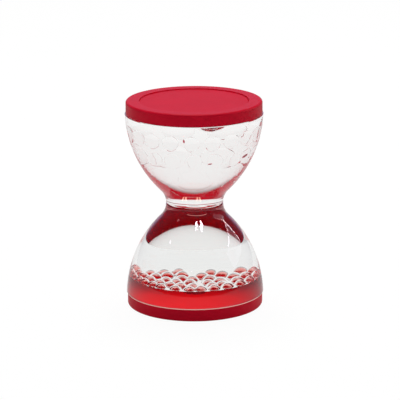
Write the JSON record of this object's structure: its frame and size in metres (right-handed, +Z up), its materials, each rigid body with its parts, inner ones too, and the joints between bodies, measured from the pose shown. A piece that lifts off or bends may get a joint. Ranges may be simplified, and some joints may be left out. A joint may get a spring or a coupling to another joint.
{
  "type": "liquid motion timer",
  "caption": "Hourglass-shaped liquid timer: two clear bells joined at a nozzle plate, red end caps, red drops settling under clear liquid.",
  "frame": {"origin": "centre of the bottom cap's resting face", "axes": "+Z up along the bells' axis, -Y towards the viewer of the picture, +X to the viewer's right"},
  "size_m": [0.0554, 0.0554, 0.084],
  "materials": {
    "clear_plastic": "clear moulded polystyrene, polished",
    "red_plastic": "satin moulded red, fine even grain",
    "red_disc": "satin red sheet",
    "plug_rubber": "soft matt stopper",
    "clear_liquid": "water-clear oil",
    "red_liquid": "dyed water, clear red"
  },
  "bodies": {
    "root": {"upper_cup": "clear_plastic", "lower_cup": "clear_plastic", "nozzle_plate": "clear_plastic", "top_cap": "red_plastic", "bottom_cap": "red_plastic", "top_cover_disc": "red_disc", "bottom_cover_disc": "red_disc", "top_fill_plug": "plug_rubber", "bottom_fill_plug": "plug_rubber", "upper_clear_liquid": "clear_liquid", "lower_clear_liquid": "clear_liquid", "clear_drops": "clear_liquid", "red_pool": "red_liquid", "red_drops": "red_liquid", "red_flecks": "red_liquid"}
  },
  "joints": []
}
